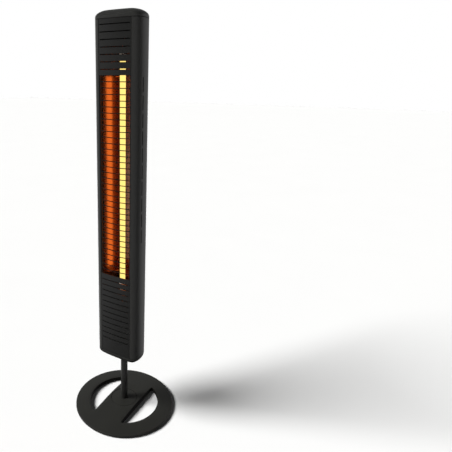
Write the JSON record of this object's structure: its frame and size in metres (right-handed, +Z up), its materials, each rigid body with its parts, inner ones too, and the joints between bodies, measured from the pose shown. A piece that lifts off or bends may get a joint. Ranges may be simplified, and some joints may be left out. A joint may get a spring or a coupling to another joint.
{
  "type": "infrared patio heater tower",
  "caption": "Slim free-standing infrared patio heater: a lit lamp in a mirror trough behind a bowed wire guard, in a tower on a short mast and a round foot with two D-shaped cut-outs.",
  "frame": {"origin": "middle of the round foot, on the floor under its rubber pads", "axes": "+Z up the tower, -Y straight out of the wire guard, +X to the right as the heater is faced"},
  "size_m": [0.392, 0.392, 1.4985],
  "materials": {
    "cast_coat": "matt black powder coat over cast iron",
    "black_coat": "satin black powder coat",
    "dark_coat": "satin black powder coat on stamped sheet and wire",
    "mirror_sheet": "bright rolled aluminium mirror, heat tinted",
    "steel": "zinc plated steel",
    "rubber": "moulded black rubber",
    "ceramic": "unglazed white ceramic",
    "black_plastic": "moulded black plastic",
    "grey_plastic": "moulded light grey plastic",
    "lead_sleeve": "red brown silicone sleeve",
    "quartz": "clear quartz tube, lit amber from within",
    "carbon": "glowing woven carbon ribbon"
  },
  "bodies": {
    "tower": {"foot_plate": "cast_coat", "mast_flange": "black_coat", "mast": "black_coat", "housing": "black_coat", "top_cap": "black_coat", "bottom_cap": "black_coat", "top_gasket": "rubber", "bottom_gasket": "rubber", "upper_plate": "dark_coat", "lower_plate": "dark_coat", "wire_guard": "dark_coat", "reflector": "mirror_sheet", "reflector_end_top": "mirror_sheet", "reflector_end_bottom": "mirror_sheet", "lamp_tube": "quartz", "carbon_ribbon": "carbon", "lamp_end_top": "ceramic", "lamp_end_bottom": "ceramic", "lamp_holder_top": "steel", "lamp_holder_bottom": "steel", "heat_shield": "steel", "mast_socket": "steel", "control_box": "black_plastic", "control_board": "grey_plastic", "control_lid": "black_plastic", "terminal_block": "grey_plastic", "tilt_switch": "grey_plastic", "lead_long": "lead_sleeve", "lead_short": "lead_sleeve", "cable_gland": "black_plastic", "gland_nut": "black_plastic", "switch_body": "black_plastic", "rubber_pad_1": "rubber", "foot_bolt_1": "steel", "cap_screw_1": "steel", "socket_bolt_1": "steel", "rubber_pad_2": "rubber", "foot_bolt_2": "steel", "cap_screw_2": "steel", "socket_bolt_2": "steel", "rubber_pad_3": "rubber", "foot_bolt_3": "steel", "cap_screw_3": "steel", "socket_bolt_3": "steel", "rubber_pad_4": "rubber", "foot_bolt_4": "steel", "cap_screw_4": "steel", "socket_bolt_4": "steel", "clamp_screw_1": "steel", "clamp_screw_2": "steel"},
    "rocker": {"power_rocker": "black_plastic"}
  },
  "joints": [
    {"name": "rocker_hinge", "type": "hinge", "parent": "tower", "child": "rocker", "pos_m": [0, 0.04916, 0.4], "axis": [1, 0, 0], "range_deg": [-20, 0]}
  ]
}
